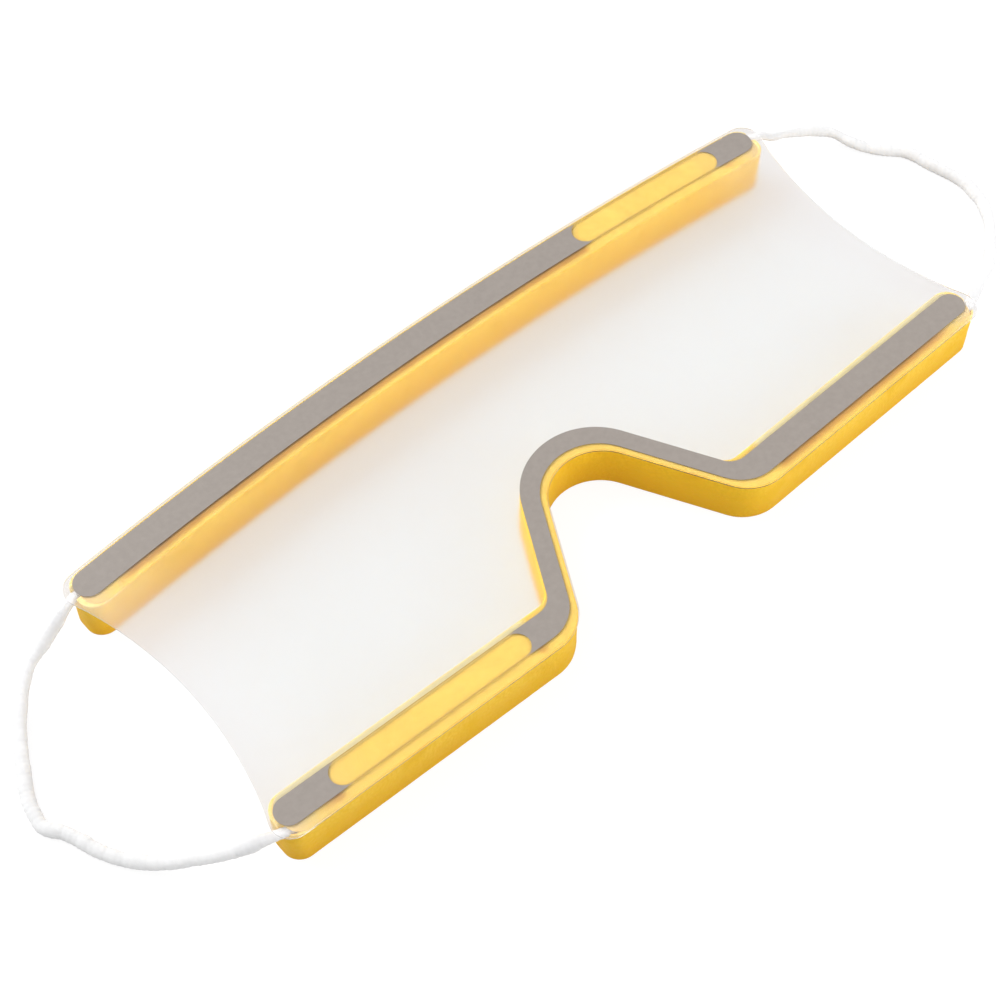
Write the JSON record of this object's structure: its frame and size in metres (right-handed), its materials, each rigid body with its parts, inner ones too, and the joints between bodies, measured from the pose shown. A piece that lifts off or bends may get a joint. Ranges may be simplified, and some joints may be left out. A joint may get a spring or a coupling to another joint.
{
  "type": "disposable safety glasses",
  "caption": "Flat clear film eye shield with a nose notch, foam strips along brow and cheeks, printed bands and an elastic ear loop at each end.",
  "frame": {"origin": "middle of the glasses without the ear loops, on the surface that the foam's skin side lies on", "axes": "+X along the glasses, to the right as seen from the front; +Y towards the brow; +Z out of the front of the lens film"},
  "size_m": [0.2344, 0.0738, 0.0104],
  "materials": {
    "clear_film": "clear polyester film, glossy",
    "foam": "fine closed-cell foam, matt",
    "adhesive_tape": "clear double-sided tape",
    "grey_ink": "printed ink, satin",
    "elastic": "soft braided elastic, white"
  },
  "bodies": {
    "shield": {"lens_film": "clear_film", "brow_foam": "foam", "cheek_foam": "foam", "brow_tape": "adhesive_tape", "cheek_tape": "adhesive_tape", "brow_print": "grey_ink", "cheek_print": "grey_ink", "left_brow_cord_end": "elastic", "left_cheek_cord_end": "elastic", "right_brow_cord_end": "elastic", "right_cheek_cord_end": "elastic"},
    "left_loop": {"left_ear_elastic": "elastic"},
    "right_loop": {"right_ear_elastic": "elastic"}
  },
  "joints": [
    {"name": "left_loop_swing", "type": "hinge", "parent": "shield", "child": "left_loop", "pos_m": [-0.08922, 0, 0.0088], "axis": [0, 1, 0], "range_deg": [-70, 90]},
    {"name": "right_loop_swing", "type": "hinge", "parent": "shield", "child": "right_loop", "pos_m": [0.08922, 0, 0.0088], "axis": [0, -1, 0], "range_deg": [-70, 90]}
  ]
}
